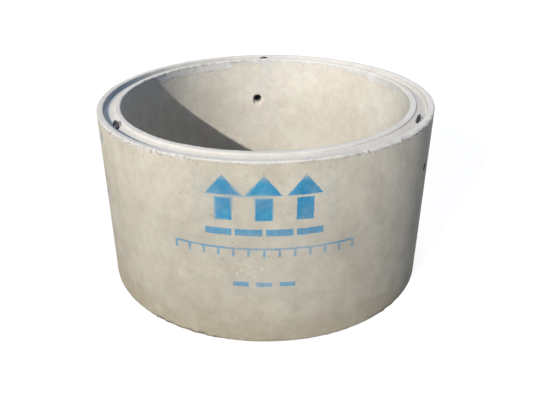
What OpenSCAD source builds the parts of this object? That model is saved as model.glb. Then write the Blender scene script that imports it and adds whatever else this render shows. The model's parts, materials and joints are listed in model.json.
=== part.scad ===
// Precast concrete chamber ring that stands on its end.
// A grooved rim carries three cast-in steel lifting loops, and two lifting holes pass through the wall.
// Millimetres, +Z up, origin at the centre of the base.

/* [Ring] */
// Clear inside diameter
bore_d = 1200; // [900:50:2100]
// Wall thickness
wall = 95; // [80:1:140]
// Height from the base to the top of the lips
height = 750; // [400:50:1000]

/* [Rim joint] */
// Width of the outer lip, on the outside of the groove
outer_lip_w = 25; // [18:1:32]
// Width of the inner lip, beside the bore
inner_lip_w = 24; // [16:1:32]
// Depth of the groove at the foot of the outer lip
groove_depth = 19; // [12:1:30]
// Step from the top of the sloping ledge to the inner lip
inner_step = 5; // [3:1:9]
// Slope of the outer lip's flank, as its run across
flank_run = 3; // [1:0.5:6]

/* [Edges] */
// Rounding of the outer top edge
outer_arris_r = 6; // [2:1:10]
// Rounding of the bore's top edge
bore_arris_r = 4; // [2:1:8]
// Rounding of the lips' edges along the groove
lip_edge_r = 2.5; // [1:0.5:3]
// Rounding of the two edges of the base
foot_r = 7; // [2:1:15]

/* [Lifting loops] */
// Diameter of the steel bar
loop_bar_d = 10; // [8:1:14]
// Outside width of a loop
loop_w = 54; // [40:1:80]
// Height of a loop's crown above the lips
loop_stand = 8; // [4:1:40]
// Length of leg cast in below the groove
loop_embed = 70; // [40:5:110]
// Direction of the back loop, in degrees from +X
loop_back_az = 90; // [60:1:120]
// Direction of the left loop
loop_left_az = 209; // [180:1:240]
// Direction of the right loop
loop_right_az = 335; // [300:1:360]

/* [Lifting holes] */
// Diameter of a lifting hole
hole_d = 40; // [20:1:60]
// Depth of a hole's centre below the lips
hole_below_rim = 200; // [150:10:300]
// Diameter of the flared mouth inside the bore
mouth_d = 52; // [42:1:80]
// Depth of the flare
mouth_depth = 10; // [4:1:25]
// Direction of the back hole
hole_back_az = 93; // [60:1:120]
// Direction of the right hole
hole_right_az = 335; // [300:1:360]

/* [Hidden] */

bore_r = bore_d / 2;
outer_r = bore_r + wall;
inner_lip_r = bore_r + inner_lip_w;
outer_lip_r = outer_r - outer_lip_w;
floor_z = height - groove_depth;
ledge_z = height - inner_step;
loop_r = (inner_lip_r + outer_lip_r) / 2;
bend_r = (loop_w - loop_bar_d) / 2;
bend_z = height + loop_stand - loop_bar_d / 2 - bend_r;
leg_z = floor_z - loop_embed;
hole_z = height - hole_below_rim;
loop_azs = [loop_back_az, loop_left_az, loop_right_az];
hole_azs = [hole_back_az, hole_right_az];
// Cutters run past the faces that they cut by this much
over = 5;
// Facets around the ring and around the bars and holes
ring_fn = 180;
bar_fn = 32;
// Steps along each rounded edge
arc_steps = 4;

// Points of a rounding of radius r about [x, z], from angle a0 to a1
function rounding(x, z, r, a0, a1) =
    [for (i = [0:arc_steps]) let (a = a0 + (a1 - a0) * i / arc_steps) [x + r * cos(a), z + r * sin(a)]];

// Half section of the wall, run anticlockwise from the base
function wall_section() = concat(
    rounding(bore_r + foot_r, foot_r, foot_r, 180, 270),
    rounding(outer_r - foot_r, foot_r, foot_r, 270, 360),
    rounding(outer_r - outer_arris_r, height - outer_arris_r, outer_arris_r, 0, 90),
    rounding(outer_lip_r + lip_edge_r, height - lip_edge_r, lip_edge_r, 90, 180),
    [[outer_lip_r - flank_run, floor_z]],
    [[inner_lip_r + lip_edge_r, ledge_z]],
    rounding(inner_lip_r - lip_edge_r, height - lip_edge_r, lip_edge_r, 0, 90),
    rounding(bore_r + bore_arris_r, height - bore_arris_r, bore_arris_r, 90, 180)
);

// Bent bar of one loop, standing across the radius in the middle of the groove
module loop_bar(az) {
    rotate([0, 0, az]) translate([loop_r, 0, 0]) {
        translate([0, 0, bend_z]) rotate([90, 0, 90])
            rotate_extrude(angle = 180, $fn = ring_fn)
                translate([bend_r, 0]) circle(d = loop_bar_d, $fn = bar_fn);
        for (side = [-1, 1])
            translate([0, side * bend_r, leg_z])
                cylinder(d = loop_bar_d, h = bend_z - leg_z, $fn = bar_fn);
    }
}

// Radial hole through the wall, flared where it opens into the bore
module lifting_hole(az) {
    rotate([0, 0, az]) translate([0, 0, hole_z]) rotate([0, 90, 0]) {
        translate([0, 0, bore_r - over])
            cylinder(d = hole_d, h = wall + 2 * over, $fn = bar_fn * 2);
        translate([0, 0, bore_r - mouth_depth])
            cylinder(d1 = 2 * mouth_d - hole_d, d2 = hole_d, h = 2 * mouth_depth, $fn = bar_fn * 2);
    }
}

module concrete_ring() {
    color([0.80, 0.76, 0.69])
        difference() {
            rotate_extrude($fn = ring_fn) polygon(wall_section());
            for (az = loop_azs) loop_bar(az);
            for (az = hole_azs) lifting_hole(az);
        }
}

module lifting_loop_back() { color([0.22, 0.21, 0.21]) loop_bar(loop_back_az); }

module lifting_loop_left() { color([0.22, 0.21, 0.21]) loop_bar(loop_left_az); }

module lifting_loop_right() { color([0.22, 0.21, 0.21]) loop_bar(loop_right_az); }

concrete_ring();
lifting_loop_back();
lifting_loop_left();
lifting_loop_right();
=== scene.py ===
import json
import math

import bmesh
import bpy
from mathutils import Matrix, Vector, noise


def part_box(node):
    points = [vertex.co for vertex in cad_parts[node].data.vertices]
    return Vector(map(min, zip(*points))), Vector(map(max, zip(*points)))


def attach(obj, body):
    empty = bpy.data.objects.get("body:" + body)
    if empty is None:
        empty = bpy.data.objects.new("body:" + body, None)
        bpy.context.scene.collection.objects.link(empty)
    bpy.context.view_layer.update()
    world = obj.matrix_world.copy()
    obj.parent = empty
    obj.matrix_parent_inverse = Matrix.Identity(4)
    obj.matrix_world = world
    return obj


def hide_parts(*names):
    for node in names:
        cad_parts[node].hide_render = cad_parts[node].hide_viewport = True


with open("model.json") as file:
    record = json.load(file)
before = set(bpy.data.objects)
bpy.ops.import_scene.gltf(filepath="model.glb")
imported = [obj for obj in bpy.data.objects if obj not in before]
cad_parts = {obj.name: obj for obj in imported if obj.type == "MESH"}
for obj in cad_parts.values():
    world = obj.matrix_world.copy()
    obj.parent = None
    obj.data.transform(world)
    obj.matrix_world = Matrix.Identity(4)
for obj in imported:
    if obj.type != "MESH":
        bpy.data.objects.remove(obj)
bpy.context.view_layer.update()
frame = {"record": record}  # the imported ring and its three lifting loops
mounts = {mount["name"]: mount for mount in frame["record"]["mounts"]}
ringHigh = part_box("concrete_ring")[1]
outerR = ringHigh.x
height = ringHigh.z
boreR = mounts["bore"]["dims"]["r_mm"] / 1000
print("stage: frame loaded, bore radius", boreR, "outside radius", round(outerR, 4))


def pick(piece):
    bpy.ops.object.select_all(action="DESELECT")
    piece.select_set(True)
    bpy.context.view_layer.objects.active = piece


def edit(piece):
    pick(piece)
    bpy.ops.object.mode_set(mode="EDIT")


def leave():
    bpy.ops.object.mode_set(mode="OBJECT")


def choose(piece, kind, test):  # selects what passes the test at its middle
    bpy.ops.mesh.select_mode(type=kind)
    bpy.ops.mesh.select_all(action="DESELECT")
    mesh = bmesh.from_edit_mesh(piece.data)
    if kind == "VERT":
        for vert in mesh.verts:
            vert.select_set(test(vert.co))
    elif kind == "EDGE":
        for edge in mesh.edges:
            edge.select_set(test((edge.verts[0].co + edge.verts[1].co) / 2))
    else:
        for face in mesh.faces:
            face.select_set(test(face.calc_center_median()))
    bmesh.update_edit_mesh(piece.data)


def paintGroup(piece, name, weightOf):  # a vertex group with weights by place
    group = piece.vertex_groups.new(name=name)
    for vert in piece.data.vertices:
        weight = weightOf(vert.co)
        if weight > 0.002:
            group.add([vert.index], min(weight, 1), "REPLACE")
    return group.name


def push(piece, depth, group="", kind=None, size=0.1, contrast=1, level=1, middle=0, detail=2):
    mod = piece.modifiers.new("push", "DISPLACE")
    mod.strength = depth
    mod.mid_level = middle
    mod.vertex_group = group
    mod.texture_coords = "LOCAL"
    if kind:
        cloud = bpy.data.textures.new("push", kind)
        cloud.noise_scale = size
        cloud.contrast = contrast
        cloud.intensity = level
        if kind == "CLOUDS":
            cloud.noise_depth = detail
        mod.texture = cloud
    pick(piece)
    bpy.ops.object.modifier_apply(modifier=mod.name)


def ease(value, low, high):
    share = max(0, min(1, (value - low) / (high - low)))
    return share * share * (3 - 2 * share)


def ripple(turn, pace, seed):  # smooth noise round the ring, about -1 to 1
    return noise.noise(Vector((pace * math.cos(turn), pace * math.sin(turn), seed))) * 1.6


def turnOf(co):
    return math.atan2(co.y, co.x)


def sector(turn, middle, half, soft):  # 1 inside a sector of the ring, in degrees
    gap = abs((math.degrees(turn) - middle + 180) % 360 - 180)
    return 1 - ease(gap, half, half + soft)


# ring

ringShape = {
    "innerLip": 0.024,
    "outerLip": 0.025,
    "groove": 0.022,
    "step": 0.008,
    "flank": 0.003,
    "ledgeEdge": 0.0025,
    "outerArris": 0.006,
    "boreArris": 0.004,
    "lipEdge": 0.0025,
    "foot": 0.007,
    "zones": (0.045, 0.515, 0.585, 0.700),  # borders between coarse and fine bands of the walls
    "turns": 680,
    "smoothAngle": 32,
}
ringCuts = {  # cuts along each stretch of the section: outside, bore
    "foot": (6, 3),
    "long": (8, 8),
    "hole": (7, 7),
    "upper": (3, 3),
    "top": (11, 12),
    "lip": (5, 5),
    "flank": 4,
    "ledge": 11,
}


def wallSection():
    bpy.ops.mesh.primitive_plane_add(size=1, location=((boreR + outerR) / 2, 0, height / 2),
                                     rotation=(math.pi / 2, 0, 0))
    section = bpy.context.object
    section.name = "ring"
    section.scale = (outerR - boreR, height, 1)
    bpy.ops.object.transform_apply(location=True, rotation=True, scale=True)
    edit(section)
    bpy.ops.mesh.select_all(action="SELECT")
    bpy.ops.mesh.delete(type="ONLY_FACE")
    innerLipR = boreR + ringShape["innerLip"]
    outerLipR = outerR - ringShape["outerLip"]
    ledgeR = innerLipR + ringShape["ledgeEdge"]
    floorR = outerLipR - ringShape["flank"]
    for radius in (innerLipR, ledgeR, floorR, outerLipR):
        bpy.ops.mesh.select_all(action="SELECT")
        bpy.ops.mesh.bisect(plane_co=(radius, 0, 0), plane_no=(1, 0, 0))
    for level in ringShape["zones"]:
        bpy.ops.mesh.select_all(action="SELECT")
        bpy.ops.mesh.bisect(plane_co=(0, 0, level), plane_no=(0, 0, 1))

    def at(x, z):
        return lambda co: abs(co.x - x) < 1e-4 and abs(co.z - z) < 1e-4

    # the groove and its sloping ledge
    choose(section, "VERT", at(ledgeR, height))
    bpy.ops.transform.translate(value=(0, 0, -ringShape["step"]))
    choose(section, "VERT", at(floorR, height))
    bpy.ops.transform.translate(value=(0, 0, -ringShape["groove"]))
    # rounded edges
    for corner, size, steps in (((outerR, height), "outerArris", 4), ((boreR, height), "boreArris", 4),
                                ((innerLipR, height), "lipEdge", 3), ((outerLipR, height), "lipEdge", 3),
                                ((outerR, 0), "foot", 4), ((boreR, 0), "foot", 4)):
        choose(section, "VERT", at(*corner))
        bpy.ops.mesh.bevel(offset=ringShape[size], segments=steps, affect="VERTICES")

    def cut(test, cuts):
        choose(section, "EDGE", test)
        bpy.ops.mesh.subdivide(number_cuts=cuts)

    low, holeLow, holeHigh, upper = ringShape["zones"]
    for side, radius in ((0, outerR), (1, boreR)):
        def band(bottom, top):
            return lambda co: abs(co.x - radius) < 1e-4 and bottom < co.z < top
        cut(band(ringShape["foot"] + 0.001, low), ringCuts["foot"][side])
        cut(band(low, holeLow), ringCuts["long"][side])
        cut(band(holeLow, holeHigh), ringCuts["hole"][side])
        cut(band(holeHigh, upper), ringCuts["upper"][side])
        cut(band(upper, height - 0.0045), ringCuts["top"][side])
    cut(lambda co: co.z > height - 1e-4 and co.x > outerLipR, ringCuts["lip"][0])
    cut(lambda co: co.z > height - 1e-4 and co.x < innerLipR, ringCuts["lip"][1])
    cut(lambda co: floorR < co.x < outerLipR + 1e-4 and upper < co.z < height - 0.006, ringCuts["flank"])
    cut(lambda co: ledgeR < co.x < floorR and co.z > upper, ringCuts["ledge"])
    print("stage: wall section has", len(bmesh.from_edit_mesh(section.data).verts), "points")
    return section


ring = wallSection()
bpy.ops.mesh.select_all(action="SELECT")
bpy.ops.mesh.spin(steps=ringShape["turns"], angle=2 * math.pi, center=(0, 0, 0), axis=(0, 0, 1))
bpy.ops.mesh.select_all(action="SELECT")
bpy.ops.mesh.remove_doubles(threshold=1e-5)
bpy.ops.mesh.normals_make_consistent(inside=False)
leave()
print("stage: ring turned,", len(ring.data.vertices), "points")

holeShape = {
    "tight": 0.93,
    "flare": 1.50,
    "flareDepth": 0.013,
    "flareStep": 0.004,
    "mouthRough": 0.005,
    "roughDepth": 0.03,
    "wallRough": 0.0012,
    "rise": 7,  # degrees, set a little crooked with the outer end up
    "sides": 40,
    "lengths": 14,
    "overrun": 0.05,
}
holeNames = ("lifting_hole_back", "lifting_hole_right")
holeLevel = mounts[holeNames[0]]["pos_m"][2]
holeAxis = mounts[holeNames[0]]["axis"]
holeTurn = math.atan2(holeAxis[1], holeAxis[0])


def liftingHole(mount):  # a rough core hole that opens out into the bore
    radius = mount["dims"]["r_mm"] / 1000
    along = Vector(mount["axis"]).normalized()
    reach = outerR - boreR + holeShape["overrun"]
    bpy.ops.mesh.primitive_cylinder_add(vertices=holeShape["sides"], radius=radius * holeShape["tight"],
                                        depth=reach)
    core = bpy.context.object
    edit(core)
    choose(core, "EDGE", lambda co: abs(co.z) < reach / 4)
    bpy.ops.mesh.subdivide(number_cuts=holeShape["lengths"])
    mouth = -(outerR - boreR) / 2
    grow = holeShape["flare"] ** (1 / 3)
    for step in range(3):  # widen ring by ring towards the bore
        limit = mouth + holeShape["flareDepth"] - step * holeShape["flareStep"]
        choose(core, "VERT", lambda co: co.z < limit)
        bpy.ops.transform.resize(value=(grow, grow, 1), center_override=(0, 0, 0))
    leave()
    roughEnd = mouth + holeShape["roughDepth"]
    nearMouth = paintGroup(core, "mouth", lambda co: 1 - ease(co.z, mouth, roughEnd))
    push(core, holeShape["mouthRough"], nearMouth, "CLOUDS", size=0.012, contrast=2.2, middle=0.45)
    push(core, holeShape["wallRough"], "", "CLOUDS", size=0.01, middle=0.5)
    along.z = math.tan(math.radians(holeShape["rise"]))
    turn = along.normalized().to_track_quat("Z", "Y").to_matrix().to_4x4()
    core.matrix_world = Matrix.Translation(Vector(mount["pos_m"])) @ turn
    pick(core)
    bpy.ops.object.transform_apply(location=True, rotation=True, scale=True)
    return core


for name in holeNames:
    core = liftingHole(mounts[name])
    cutter = ring.modifiers.new("hole", "BOOLEAN")
    cutter.operation = "DIFFERENCE"
    cutter.solver = "EXACT"
    cutter.object = core
    pick(ring)
    bpy.ops.object.modifier_apply(modifier=cutter.name)
    bpy.data.objects.remove(core)


def insideHole(co):
    return boreR + 3e-5 < math.hypot(co.x, co.y) < outerR - 3e-5 and abs(co.z - holeLevel) < 0.05


edit(ring)
choose(ring, "FACE", insideHole)
bpy.ops.mesh.poke()  # split from the middle, so that no triangle there has all its corners on the rim
leave()
print("stage: lifting holes cut,", len(ring.data.vertices), "points")

wear = {
    "wave": 0.0014,
    "outerChip": 0.0020,
    "boreChip": 0.0020,
    "footChip": 0.0013,
    "spill": 0.0008,
    "trowel": 0.0006,
    "spillSpan": 0.04,  # metres from the edge of the slurry that its attribute covers, 0 to 1
    "chipFull": 0.004,  # depth at which a chip counts as fully broken
}


def spillDepth(turn, bore):  # how far pale slurry runs down from the rim
    if bore:
        depth = 0.005 + 0.004 * ripple(turn, 9, 3.1) + 0.002 * ripple(turn, 40, 8.2)
        depth += sector(turn, 126, 18, 5) * (0.029 + 0.005 * ripple(turn, 30, 1.7))
        depth += sector(turn, 33, 17, 5) * (0.012 + 0.018 * ease(-math.degrees(turn), -48, -30))
        depth += sector(turn, 91, 4, 6) * (0.010 + 0.010 * ripple(turn, 30, 9.4))
    else:
        depth = 0.002 + 0.003 * ripple(turn, 12, 5.5) + 0.0015 * ripple(turn, 45, 7.7)
        depth += sector(turn, 268, 2, 3) * 0.005
        depth += sector(turn, 312, 24, 8) * (0.004 + 0.005 * ripple(turn, 26, 2.6))
    return max(depth, 0)


def spillEdge(co):  # metres inside the edge of the slurry, below 0 outside it
    radius = math.hypot(co.x, co.y)
    bore = radius < boreR + 0.02
    if not bore and radius < outerR - 0.02 or co.z < 0.6:
        return -wear["spillSpan"] / 2
    ragged = 0.004 * noise.noise(co * 90) + 0.002 * noise.noise(co * 260)
    return spillDepth(turnOf(co), bore) + ragged - (height - 0.004 - co.z)


def spillAt(co):
    return ease(spillEdge(co), -0.003, 0.003)


def nearArris(co, radius, level, reach):
    return 1 - ease(math.hypot(math.hypot(co.x, co.y) - radius, co.z - level), reach * 0.35, reach)


def outerChipAt(co):
    turn = turnOf(co)
    share = max(0.2 + 0.5 * ripple(turn, 7, 6.6), sector(turn, 316, 22, 10), 0.7 * sector(turn, 236, 12, 8))
    return nearArris(co, outerR, height, 0.012) * max(share, 0)


def boreChipAt(co):
    turn = turnOf(co)
    share = max(0.25 + 0.5 * ripple(turn, 5, 2.2), sector(turn, 122, 34, 12))
    return nearArris(co, boreR, height, 0.011) * max(share, 0)


def footChipAt(co):
    turn = turnOf(co)
    share = max(0.3 + 0.5 * ripple(turn, 5, 9.1), sector(turn, 243, 12, 6), sector(turn, 318, 5, 4))
    return nearArris(co, outerR, 0, 0.015) * max(share, 0)


def trowelAt(co):
    offBore = ease(math.hypot(co.x, co.y), boreR + 0.004, boreR + 0.010)
    return ease(co.z, height - 0.022, height - 0.018) * offBore


before = [vert.co.copy() for vert in ring.data.vertices]
push(ring, wear["wave"], "", "CLOUDS", size=0.4, middle=0.5, detail=1)
push(ring, wear["spill"], paintGroup(ring, "spill", spillAt))
push(ring, wear["trowel"], paintGroup(ring, "trowel", trowelAt), "CLOUDS", size=0.05, middle=0.5)
smoothed = [vert.co.copy() for vert in ring.data.vertices]
push(ring, -wear["outerChip"], paintGroup(ring, "outerChip", outerChipAt), "CLOUDS", size=0.030, contrast=4,
     level=-0.15)
push(ring, -wear["boreChip"], paintGroup(ring, "boreChip", boreChipAt), "CLOUDS", size=0.018, contrast=4,
     level=-0.10)
push(ring, -wear["footChip"], paintGroup(ring, "footChip", footChipAt), "CLOUDS", size=0.024, contrast=4,
     level=-0.10)
for vert in ring.data.vertices:
    vert.co.z = max(vert.co.z, 0)  # the base stays flat on the ground
spilt = [max(0, min(1, 0.5 + spillEdge(co) / wear["spillSpan"])) for co in before]
broken = [min((vert.co - co).length / wear["chipFull"], 1) for vert, co in zip(ring.data.vertices, smoothed)]
ring.vertex_groups.clear()
ring.data.attributes.new("spill", "FLOAT", "POINT").data.foreach_set("value", spilt)
ring.data.attributes.new("broken", "FLOAT", "POINT").data.foreach_set("value", broken)
pick(ring)
bpy.ops.object.shade_smooth_by_angle(angle=math.radians(ringShape["smoothAngle"]))
print("stage: ring worn,", sum(len(face.vertices) - 2 for face in ring.data.polygons), "triangles")

# loops

loopShape = {"width": 0.057, "leg": 0.034, "rough": 0.0009, "sides": 20, "bendSteps": 28, "legCuts": 6}
loopTurns = {  # direction, lean in degrees, bar, height above the lips
    "back": (90, 3, 0.0110, 0.003),
    "left": (209, -5, 0.0125, 0.010),
    "right": (335, 6, 0.0095, 0.010),
}


def bentBar(thick, stand):
    bend = (loopShape["width"] - thick) / 2
    crown = height + stand - thick / 2
    middle = (boreR + ringShape["innerLip"] + outerR - ringShape["outerLip"]) / 2
    bpy.ops.mesh.primitive_circle_add(vertices=loopShape["sides"], radius=thick / 2,
                                      location=(middle, bend, crown - bend))
    bar = bpy.context.object
    bpy.ops.object.transform_apply(location=True, rotation=True, scale=True)
    edit(bar)
    bpy.ops.mesh.select_all(action="SELECT")
    bpy.ops.mesh.spin(steps=loopShape["bendSteps"], angle=math.pi, center=(middle, 0, crown - bend),
                      axis=(-1, 0, 0))
    for side in (1, -1):
        choose(bar, "EDGE", lambda co: co.y * side > 0 and abs(co.z - crown + bend) < 1e-5)
        for part in range(loopShape["legCuts"]):
            bpy.ops.mesh.extrude_region_move(
                TRANSFORM_OT_translate={"value": (0, 0, -loopShape["leg"] / loopShape["legCuts"])})
        bpy.ops.mesh.edge_face_add()
    bpy.ops.mesh.select_all(action="SELECT")
    bpy.ops.mesh.normals_make_consistent(inside=False)
    leave()
    return bar


loops = {}
for name, (turn, lean, thick, stand) in loopTurns.items():
    loop = bentBar(thick, stand)
    loop.name = "loop" + name.title()
    foot = Vector(((boreR + outerR) / 2, 0, height - ringShape["groove"]))
    loop.matrix_world = (Matrix.Rotation(math.radians(turn), 4, "Z") @ Matrix.Translation(foot)
                         @ Matrix.Rotation(math.radians(lean), 4, "Y") @ Matrix.Translation(-foot))
    bpy.ops.object.transform_apply(location=True, rotation=True, scale=True)
    push(loop, loopShape["rough"], "", "CLOUDS", size=0.008, middle=0.5)
    pick(loop)
    bpy.ops.object.shade_smooth()
    loops[name] = loop
print("stage: loops bent")


class Wire:  # one socket of a shader, so that sums can be written plainly
    def __init__(self, tree, socket=None):
        self.tree = tree
        self.socket = socket

    def node(self, kind, settings=None, feeds=None, out=0):
        made = self.tree.nodes.new("ShaderNode" + kind)
        for name, value in (settings or {}).items():
            setattr(made, name, value)
        for name, value in (feeds or {}).items():
            if isinstance(value, Wire):
                self.tree.links.new(value.socket, made.inputs[name])
            else:
                made.inputs[name].default_value = value
        return Wire(self.tree, made.outputs[out])

    def sum(self, operation, first, second=0.0, clip=False):
        return self.node("Math", {"operation": operation, "use_clamp": clip}, {0: first, 1: second})

    def __add__(self, other):
        return self.sum("ADD", self, other)

    def __radd__(self, other):
        return self.sum("ADD", other, self)

    def __sub__(self, other):
        return self.sum("SUBTRACT", self, other)

    def __rsub__(self, other):
        return self.sum("SUBTRACT", other, self)

    def __mul__(self, other):
        return self.sum("MULTIPLY", self, other)

    def __rmul__(self, other):
        return self.sum("MULTIPLY", other, self)

    def __truediv__(self, other):
        return self.sum("DIVIDE", self, other)

    def __abs__(self):
        return self.sum("ABSOLUTE", self)

    def clip(self):
        return self.sum("ADD", self, 0.0, True)

    def most(self, other):
        return self.sum("MAXIMUM", self, other)

    def least(self, other):
        return self.sum("MINIMUM", self, other)

    def rise(self, low, high):  # 0 below low, 1 above high
        return self.node("MapRange", {"interpolation_type": "SMOOTHSTEP"},
                         {"Value": self, "From Min": low, "From Max": high})

    def blend(self, under, over):  # colours, by this factor
        return self.node("Mix", {"data_type": "RGBA"}, {0: self, 6: under, 7: over}, 2)

    def cloud(self, scale, detail=3.0, rough=0.5, out=0):
        feeds = {"Vector": self, "Scale": scale, "Detail": detail, "Roughness": rough}
        return self.node("TexNoise", {}, feeds, out)

    def tint(self, colour, hue):  # a colour through a filter, by this factor
        kind = {"data_type": "RGBA", "blend_type": "MULTIPLY"}
        return self.node("Mix", kind, {0: self, 6: colour, 7: hue}, 2)

    def mottled(self, ends):  # between the darker and the lighter end of a tone
        return self.blend(tone(*ends[0]), tone(*ends[1]))

    def lay(self, colour, shade, strength):  # a plain tone over a colour, where this factor is high
        return (self * strength).blend(colour, tone(*shade))

    def vector(self, across, up, deep=0.0):  # a place to read a drawn-out noise at
        return self.node("CombineXYZ", {}, {"X": across, "Y": up, "Z": deep})

    def times(self, factor):  # a colour, lighter or darker
        return self.node("VectorMath", {"operation": "SCALE"}, {0: self, "Scale": factor})

    def feed(self, shader, name):
        self.tree.links.new(self.socket, shader.inputs[name])


def tone(red, green, blue):  # a colour as seen on a screen, 0 to 255
    return tuple(((value / 255 + 0.055) / 1.055) ** 2.4 for value in (red, green, blue)) + (1.0,)


def newSkin(name):
    skin = bpy.data.materials.new(name)
    skin.use_nodes = True
    return skin, skin.node_tree.nodes["Principled BSDF"], Wire(skin.node_tree)


markShape = {
    "arrowPace": 0.142,
    "arrowTop": 0.702,
    "neck": 0.622,
    "arrowFoot": 0.532,
    "stemHalf": 0.030,
    "underline": (0.484, 0.0130, 0.108, 0.048, 0.216),  # level, half height, pace, half length, row's half
    "scale": (0.418, 0.0036, 0.330),  # level, half height, half length
    "ticks": (0.402, 0.0170, 0.055, 0.0045),  # level, half height, pace, half width
    "dashes": (0.268, 0.0095, 0.085, 0.028, 0.120),  # as the underline
    "smudges": (-157.5, 0.556, 0.121, 0.026),  # direction, level between the two, half their gap, radius
}


def sprayedMark(start, across, up):  # distance to plain arrows over a scale line, below 0 inside
    def beside(pace, shift=0.0):
        return abs(across + shift - start.sum("ROUND", (across + shift) / pace) * pace)

    pace = markShape["arrowPace"]
    head = (beside(pace) * 0.766 + (up - markShape["arrowTop"]) * 0.643).most(markShape["neck"] + 0.005 - up)
    stem = (beside(pace) - markShape["stemHalf"]).most(up - markShape["neck"] + 0.004)
    shape = head.least(stem.most(markShape["arrowFoot"] - up)).most(abs(across) - pace * 1.5)
    level, rise, reach = markShape["scale"]
    shape = shape.least((abs(up - level) - rise).most(abs(across) - reach))
    level, rise, pace, half = markShape["ticks"]
    shape = shape.least((beside(pace) - half).most(abs(up - level) - rise).most(abs(across) - reach - half))
    for name, shift in (("underline", 0.5), ("dashes", 0.0)):
        level, rise, pace, half, reach = markShape[name]
        row = (beside(pace, pace * shift) - half).most(abs(up - level) - rise)
        shape = shape.least(row.most(abs(across) - reach))
    return shape


concrete = {
    # darker and lighter end of each mottled tone, as seen on a screen
    "wall": ((191, 182, 162), (206, 198, 179)),
    "bore": ((223, 215, 198), (234, 228, 213)),
    "ledge": ((215, 208, 197), (227, 221, 211)),
    "lip": ((228, 222, 211), (239, 233, 223)),
    "slurry": ((234, 230, 222), (248, 246, 242)),
    "chip": ((158, 149, 134), (208, 202, 190)),
    "paint": ((22, 132, 176), (48, 152, 192)),
    # tone and strength of what lies over them
    "footBand": ((176, 162, 134), 0.45),
    "drip": ((232, 227, 216), 0.35),
    "wash": ((236, 232, 224), 0.75),
    "outerSlurry": ((218, 212, 201), 1.0),
    "sparkle": ((250, 249, 246), 0.8),
    # painted shadow line under the edge of the slurry
    "slurryShadowLine": ((122, 110, 90), 0.75),
    "crumb": ((238, 234, 226), 0.7),
    "pit": ((112, 104, 92), 0.75),
    "holeEdge": ((240, 237, 230), 0.6),
    # painted shade inside the lifting holes
    "holeShade": ((58, 61, 66), 0.9),
    "pore": ((112, 102, 88), 0.75),
    "smear": ((222, 222, 215), 0.6),
    "footDarkTone": ((94, 86, 77), 0.9),
    # filters
    "warm": (1.0, 0.955, 0.955, 1.0),
    # cool filter for the painted shade in the deep of the groove
    "grooveShadeTint": (0.60, 0.71, 0.86, 1.0),
    # directions round the ring, in radians or as a vector
    "washTurn": 1.58,
    "slurryTurn": 2.2,
    "raggedTurns": (-0.70, -2.35),
    "footDarkTurns": (-2.04, -0.72),
    # side where the groove's painted shade is full
    "grooveShadeSide": (-0.966, -0.259),
    # side of the rim that is painted lighter, as painted light
    "paintedLightSide": (0.85, 0.53),
}


class Spot:  # where a point of the ring lies, and the noises that its skin is made of
    def __init__(self, start):
        self.start = start
        self.place = start.node("TexCoord", out="Object")
        facing = start.node("TexCoord", out="Normal")
        self.x, self.y, self.z = (start.node("SeparateXYZ", {}, {"Vector": self.place}, axis)
                                  for axis in range(3))
        self.upward = start.node("SeparateXYZ", {}, {"Vector": facing}, 2)
        self.radius = start.sum("SQRT", self.x * self.x + self.y * self.y)
        self.turn = start.sum("ARCTAN2", self.y, self.x)
        self.across = (self.turn + math.pi / 2) * outerR  # along the outside, from the middle of the front
        self.spilt = start.node("Attribute", {"attribute_name": "spill"}, out="Fac")
        self.broken = start.node("Attribute", {"attribute_name": "broken"}, out="Fac")
        self.outside = self.radius.rise(outerR - 0.020, outerR - 0.012)
        self.inBore = 1 - self.outside
        rim = self.band(boreR + 0.005, boreR + 0.009, outerR - 0.012, outerR - 0.008)
        self.top = self.upward.rise(0.35, 0.75).most(rim) * self.z.rise(height - 0.030, height - 0.024)
        self.broad = self.place.cloud(3.4, 4, 0.55)
        self.patch = self.place.cloud(13, 4, 0.6)
        self.blotch = self.place.cloud(34, 3, 0.6)
        self.crumbs = self.place.cloud(130, 2, 0.6)
        self.grain = self.place.cloud(240, 3, 0.6)
        self.sand = self.place.cloud(900, 1, 0.5)

    def band(self, low, full, fullEnd, end):  # 1 in a band of the radius, with soft borders
        return self.radius.rise(low, full) * (1 - self.radius.rise(fullEnd, end))

    def toward(self, x, y):  # 1 on the side of the ring that lies this way, -1 opposite
        return (self.x * x + self.y * y) / self.radius

    def near(self, turn, reach, soft):  # 1 close to a direction
        return 1 - abs(self.turn - turn).rise(reach, soft)


def castColour(here):  # mottled skin of the walls, browner towards the foot, with painted shade low down and painted light high up
    mottle = (here.broad * 0.55 + here.patch * 0.45).rise(0.36, 0.64)
    colour = here.outside.blend(mottle.mottled(concrete["bore"]), mottle.mottled(concrete["wall"]))
    low = (1 - (here.z + (here.patch - 0.5) * 0.16).rise(0.01, 0.17)) * here.outside
    colour = low.lay(colour, *concrete["footBand"])
    # painted light and shade: lighter towards the top of the walls, darker towards the bottom
    colour = colour.times(0.86 + 0.13 * here.z.rise(0.02, 0.42) + 0.21 * here.z.rise(0.40, 0.74))
    # painted shade: the bore darker still towards its foot
    colour = colour.times(1 - 0.22 * (1 - here.z.rise(0.02, 0.26)) * here.inBore)
    warm = here.place.cloud(19, 2, 0.5).rise(0.40, 0.60) * 0.5
    colour = warm.tint(colour, concrete["warm"])
    drips = here.start.vector(here.turn * 75, here.z * 5, here.radius * 20).cloud(1.3, 3, 0.6)
    drips = drips.rise(0.56, 0.68) * (here.z + (here.patch - 0.5) * 0.2).rise(0.60, 0.74)
    colour = drips.lay(colour, *concrete["drip"])
    # pale wash under the back loop, down to the hole
    aside = abs(here.turn - concrete["washTurn"]) * boreR
    wash = (1 - aside.rise(0.015, 0.085)) * here.z.rise(0.50, 0.66) * here.inBore
    return (wash * here.patch.rise(0.36, 0.60)).lay(colour, *concrete["wash"])


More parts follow.
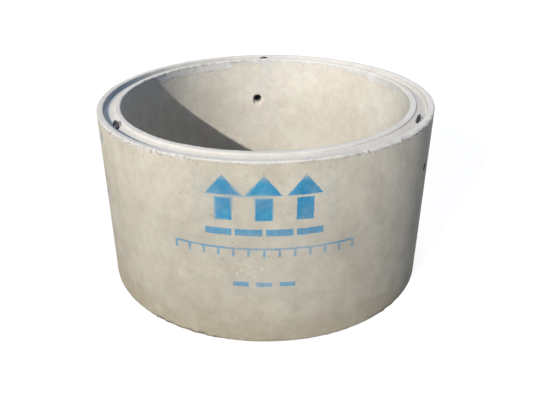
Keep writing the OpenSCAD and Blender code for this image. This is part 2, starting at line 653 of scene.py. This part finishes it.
def rimColour(here):  # pale lips, and painted shade in the deep of the groove, full at the left and faint all round
    swirl = here.start.vector(here.turn * 9, here.radius * 120, here.z * 8).cloud(2.0, 4, 0.6)
    mottle = (swirl * 0.4 + here.patch * 0.6).rise(0.32, 0.68)
    ledge = here.band(boreR + 0.023, boreR + 0.027, outerR - 0.026, outerR - 0.023)
    colour = ledge.blend(mottle.mottled(concrete["lip"]), mottle.mottled(concrete["ledge"]))
    # painted shade: a cool darker tint in the deep of the groove, full on the left side
    deep = here.band(outerR - 0.058, outerR - 0.042, outerR - 0.0255, outerR - 0.0235)
    deep = deep * (0.12 + 0.88 * here.toward(*concrete["grooveShadeSide"]).rise(0.50, 0.90))
    colour = deep.tint(colour, concrete["grooveShadeTint"])
    # painted light: the rim lighter towards the right and the back
    return colour.times(1 + 0.09 * here.toward(*concrete["paintedLightSide"]).rise(0.20, 0.85))


def slurryColour(here, colour):  # pale slurry that ran down from the rim, with a painted shadow line under its edge at the back
    pale = here.patch.rise(0.35, 0.65).mottled(concrete["slurry"])
    pale = here.outside.lay(pale, *concrete["outerSlurry"])
    inside = (here.spilt - 0.5) * wear["spillSpan"]
    inside = inside + (here.grain - 0.5) * 0.012 + (here.blotch - 0.5) * 0.014
    brushed = here.start.vector(here.turn * 60, here.z * 16).cloud(1.6, 4, 0.65)
    streaked = (here.blotch * 0.35 + brushed * 0.65).rise(0.40, 0.58)
    behind = here.near(concrete["slurryTurn"], 0.34, 0.44) * here.inBore
    bare = 1 - here.top
    colour = (inside.rise(-0.003, 0.005) * (0.5 + 0.45 * streaked) * bare).blend(colour, pale)
    sparkle = here.crumbs.rise(0.50, 0.60) * here.z.rise(height - 0.020, height - 0.008) * here.inBore
    colour = (sparkle * here.y.rise(0.2, 0.4) * bare).lay(colour, *concrete["sparkle"])
    rough = (here.crumbs - 0.5) * 0.5 + 0.14
    colour = colour.times(1 + rough * inside.rise(0.0, 0.004) * behind * bare)
    # painted shadow: a dark line along the lower edge of the slurry at the back
    slurryShadowLine = (1 - abs(inside + 0.001).rise(0.0004, 0.0026)) * behind * here.blotch.rise(0.46, 0.60)
    return (slurryShadowLine * bare).lay(colour, *concrete["slurryShadowLine"])


def edgeColour(here, colour):  # chips of coarser concrete, and a crumbled outer edge with pits
    arris = here.radius.rise(outerR - 0.009, outerR - 0.004) * here.z.rise(height - 0.014, height - 0.007)
    colour = colour.times(1 - 0.05 * arris)
    colour = (here.broken * 0.8).blend(colour, here.grain.rise(0.4, 0.62).mottled(concrete["chip"]))
    speckle = (here.grain - 0.5) * 0.22 + (here.sand - 0.5) * 0.20
    colour = colour.times(1 + speckle + (here.blotch - 0.5) * (1 - here.top) * 0.24)
    crumbled = here.start.vector(here.turn * outerR * 0.55, here.z, here.radius).cloud(125, 2, 0.6)
    right, left = concrete["raggedTurns"]
    ragged = here.near(right, 0.28, 0.55).most(here.near(left, 0.25, 0.55) * 0.7).most(0.15)
    ragged = ragged * here.outside * here.z.rise(height - 0.017, height - 0.011)
    ragged = ragged * (1 - here.upward.rise(0.55, 0.95))
    colour = (ragged * crumbled.rise(0.44, 0.52)).lay(colour, *concrete["crumb"])
    return (ragged * (1 - crumbled.rise(0.37, 0.45))).lay(colour, *concrete["pit"])


def holeColour(here, colour):  # holes painted dark inside as painted shade, with a pale edge round the back one
    level = here.z - holeLevel
    side = (here.turn - holeTurn) * boreR
    mouth = here.start.sum("SQRT", side * side + level * level) + (here.blotch - 0.5) * 0.016
    mouth = (1 - abs(mouth - 0.030).rise(0.002, 0.009)) * here.inBore
    colour = (mouth * here.blotch.rise(0.42, 0.60)).lay(colour, *concrete["holeEdge"])
    # painted shade: the inside of both holes laid dark
    paintedHoleShade = here.band(boreR + 0.010, boreR + 0.032, outerR - 0.004, outerR - 0.001)
    return (paintedHoleShade * (1 - abs(level).rise(0.045, 0.055))).lay(colour, *concrete["holeShade"])


def airHoles(here):  # small pores, more of them on the front and by the upper edge
    cell = here.start.node("TexVoronoi", {}, {"Vector": here.place, "Scale": 55.0})
    luck = here.start.node("TexVoronoi", {}, {"Vector": here.place, "Scale": 55.0}, 1)
    lucky = here.start.node("SeparateColor", {}, {"Color": luck}, 0)
    front = (1 - abs(here.across).rise(0.28, 0.40)) * here.outside
    edge = here.outside * here.z.rise(height - 0.050, height - 0.030)
    chance = lucky + front * 0.09 + here.top * 0.02 + edge * 0.10
    return (1 - cell.rise(0.07, 0.16)) * chance.rise(0.90, 0.92)


def smearAndFootColour(here, colour):  # pale smears under the mark, and a darker patchy band along the foot
    smear = here.start.vector(here.across * 0.6, here.z).cloud(62, 2, 0.5).rise(0.60, 0.66)
    smear = smear * (1 - abs(here.z - 0.325).rise(0.010, 0.035))
    smear = smear * (1 - abs(here.across + 0.05).rise(0.06, 0.13)) * here.outside
    colour = smear.lay(colour, *concrete["smear"])
    left, right = concrete["footDarkTurns"]
    footDark = here.near(left, 0.16, 0.34).most(here.near(right, 0.10, 0.26)).most(0.25)
    footDark = footDark * (1 - (here.z + (here.blotch - 0.5) * 0.04).rise(0.006, 0.020))
    footDark = footDark * (here.blotch * 0.5 + here.crumbs * 0.5).rise(0.34, 0.52)
    return (footDark * here.outside).lay(colour, *concrete["footDarkTone"])


def paintCover(here):  # how thick the sprayed paint lies, with its overspray and the smudges at the side
    rough = (here.place.cloud(70, 3) - 0.5) * 0.006 + (here.place.cloud(420, 2) - 0.5) * 0.004
    distance = sprayedMark(here.start, here.across, here.z) + rough
    direction, level, gap, size = markShape["smudges"]
    side = (here.turn - math.radians(direction)) * outerR
    rise = abs(here.z - level) - gap
    stroke = here.start.sum("SQRT", side * side + rise * rise) - size
    stroke = stroke + (here.blotch - 0.5) * 0.05 + rough * 2
    thin = here.place.cloud(9, 3, 0.6).rise(0.38, 0.60)
    fade = (0.86 + 0.14 * thin) * (1 - 0.5 * here.z.rise(0.672, 0.704))
    fade = fade * (1 - (0.08 + 0.35 * thin) * (1 - here.z.rise(0.44, 0.52)))
    soft = 0.0014 + 0.011 * here.place.cloud(6, 2).rise(0.45, 0.72)
    mark = (1 - distance.rise(soft * -0.8, soft)) * fade
    ends = (1 - here.across.rise(-0.26, -0.10)).most(here.across.rise(0.16, 0.24) * 0.6)
    drift = 0.12 + 0.34 * ends * here.z.rise(0.48, 0.58)
    halo = (1 - distance.rise(-0.004, 0.060)) * here.grain.rise(0.38, 0.66) * drift
    faint = (1 - stroke.rise(-0.012, 0.012)) * 0.5 * fade
    worn = 1 - 0.6 * here.sand.rise(0.60, 0.72)
    return (mark.most(halo).most(faint) * worn * here.outside * 0.97).clip()


def concreteSkin():
    skin, shader, start = newSkin("dry concrete")
    here = Spot(start)
    colour = here.top.blend(castColour(here), rimColour(here))
    for layer in (slurryColour, edgeColour, holeColour):
        colour = layer(here, colour)
    pore = airHoles(here)
    colour = pore.lay(colour, *concrete["pore"])
    colour = smearAndFootColour(here, colour)
    paint = paintCover(here)
    blue = (here.patch * 0.6 + here.grain * 0.4).rise(0.38, 0.62).mottled(concrete["paint"])
    paint.blend(colour, blue).feed(shader, "Base Color")
    (0.93 - 0.10 * paint - 0.06 * here.top).feed(shader, "Roughness")
    shader.inputs["Specular IOR Level"].default_value = 0.15
    relief = here.patch * 0.35 + here.grain * 0.22 + here.sand * 0.07
    relief = relief - pore * 1.2 + here.broken * here.grain * 1.4
    bump = start.node("Bump", {}, {"Strength": 0.6, "Distance": 0.0012, "Height": relief})
    bump.feed(shader, "Normal")
    return skin


steel = {
    "bar": ((34, 35, 38), (66, 66, 68)),
    "rust": ((70, 58, 50), 0.55),
    "bright": ((190, 190, 188), 0.8),
}


def steelSkin():
    skin, shader, start = newSkin("dark loop steel")
    place = start.node("TexCoord", out="Object")
    scale = place.cloud(240, 4, 0.6)
    spots = place.cloud(90, 3, 0.6)
    rust = spots.rise(0.52, 0.62)
    bright = scale.rise(0.62, 0.68)
    colour = scale.rise(0.35, 0.65).mottled(steel["bar"])
    colour = rust.lay(colour, *steel["rust"])
    colour = bright.lay(colour, *steel["bright"])
    colour.feed(shader, "Base Color")
    (0.35 - 0.3 * rust).clip().feed(shader, "Metallic")
    (0.48 + 0.3 * rust).feed(shader, "Roughness")
    bump = start.node("Bump", {}, {"Strength": 0.5, "Distance": 0.0005, "Height": scale + spots})
    bump.feed(shader, "Normal")
    return skin


ring.data.materials.clear()
ring.data.materials.append(concreteSkin())
loopSkin = steelSkin()
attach(ring, "root")
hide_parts("concrete_ring")
for name, loop in loops.items():
    loop.data.materials.clear()
    loop.data.materials.append(loopSkin)
    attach(loop, "root")
    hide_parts("lifting_loop_" + name)
print("stage: skins laid on")

# studio

sunlamps = {  # power, width of the face, direction and rise in degrees, colour
    "key": (2.86, 1, 240, 27, (1.0, 0.98, 0.945)),
    "overhead": (1.08, 6, 240, 85, (1.0, 0.975, 0.94)),
}
lowLamps = {  # power, size, spread in degrees, place, aim
    "fill": (8.5, 0.68, 180, (2.1, -3.2, 0.36), (0.35, -0.4, 0.36)),
    "behind": (8, 0.70, 60, (0.87, 4.1, 0.37), (0.1, 0.5, 0.37)),
}
studio = {
    "ambient": (0.020, 0.075, 0.185, 1),
    "floor": (0.34, 0.34, 0.34, 1),
    # dark floor inside the ring, painted shade that keeps bounce light out of the bore
    "paintedShadeFloor": (0.04, 0.04, 0.04, 1),
    "floorGlow": 1.78,
    "floorLift": 0.5,
}


def sunlamp(name, power, soft, turn, rise, colour):  # far lamp with a wide face
    bpy.ops.object.light_add(type="SUN")
    lamp = bpy.context.object
    lamp.name = name
    lamp.data.energy = power
    lamp.data.angle = math.radians(soft)
    lamp.data.color = colour
    turn, rise = math.radians(turn), math.radians(rise)
    way = Vector((math.cos(turn) * math.cos(rise), math.sin(turn) * math.cos(rise), math.sin(rise)))
    lamp.location = way * 6
    lamp.rotation_euler = (-way).to_track_quat("-Z", "Y").to_euler()


def seenRay(start):  # rays from the eye, also by way of metal
    sight, mirrored, through = (start.node("LightPath", out="Is " + kind + " Ray")
                                for kind in ("Camera", "Glossy", "Transmission"))
    return sight.most(mirrored).most(through)


bpy.ops.mesh.primitive_plane_add(size=60)
floor = bpy.context.object
floor.name = "floor"
floorSkin, floorShader, floorStart = newSkin("pale floor")
floorPlace = floorStart.node("TexCoord", out="Object")
away = floorStart.node("VectorMath", {"operation": "LENGTH"}, {0: floorPlace}, "Value")
# painted shade: the floor dark inside the ring
away = away.rise(boreR, boreR + 0.05)
away.blend(studio["paintedShadeFloor"], studio["floor"]).feed(floorShader, "Base Color")
floorShader.inputs["Roughness"].default_value = 0.9
glow = floorStart.node("Emission", {}, {"Color": (1, 1, 1, 1), "Strength": studio["floorGlow"]})
direct = seenRay(floorStart)
lift = floorStart.node("MixShader", {}, {
    0: direct * studio["floorLift"], 1: Wire(floorSkin.node_tree, floorShader.outputs[0]), 2: glow})
lift.feed(floorSkin.node_tree.nodes["Material Output"], "Surface")
floor.data.materials.append(floorSkin)

for name, settings in sunlamps.items():
    sunlamp(name, *settings)


def lowLamp(name, power, size, spread, place, aim):  # low, so that it does not reach over the rim
    bpy.ops.object.light_add(type="AREA", location=place)
    lamp = bpy.context.object
    lamp.name = name
    lamp.data.shape = "DISK"
    lamp.data.size = size
    lamp.data.energy = power
    lamp.data.spread = math.radians(spread)
    lamp.rotation_euler = (Vector(aim) - lamp.location).to_track_quat("-Z", "Y").to_euler()
    lamp.visible_camera = False


for name, settings in lowLamps.items():
    lowLamp(name, *settings)

world = bpy.data.worlds.new("studio")
bpy.context.scene.world = world
world.use_nodes = True
skyStart = Wire(world.node_tree)
seen = seenRay(skyStart)
sky = world.node_tree.nodes["Background"]
seen.blend(studio["ambient"], (1.0, 1.0, 1.0, 1.0)).feed(sky, "Color")

# camera where the photograph was taken from

camera = {"lens": 617.31 / 533 * 36, "back": 2.54025, "rise": 1.55641, "pan": -2.41, "tilt": 29.37,
          "roll": -1.30, "shiftX": 25 / 533, "shiftY": 25 / 533}
pan, tilt, roll = (math.radians(camera[name]) for name in ("pan", "tilt", "roll"))
ahead = Vector((math.sin(pan) * math.cos(tilt), math.cos(pan) * math.cos(tilt), -math.sin(tilt)))
right = Vector((math.cos(pan), -math.sin(pan), 0))
above = right.cross(ahead)
rightRolled = right * math.cos(roll) + above * math.sin(roll)
aboveRolled = above * math.cos(roll) - right * math.sin(roll)
bpy.ops.object.camera_add()
eye = bpy.context.object
eye.matrix_world = Matrix.Translation((0, -camera["back"], camera["rise"])) @ Matrix(
    (rightRolled, aboveRolled, -ahead)).transposed().to_4x4()
eye.data.sensor_width = 36
eye.data.lens = camera["lens"]
eye.data.shift_x = camera["shiftX"]
eye.data.shift_y = camera["shiftY"]
bpy.context.scene.camera = eye
bpy.context.scene.view_settings.view_transform = "Standard"
print("stage: studio and camera set")
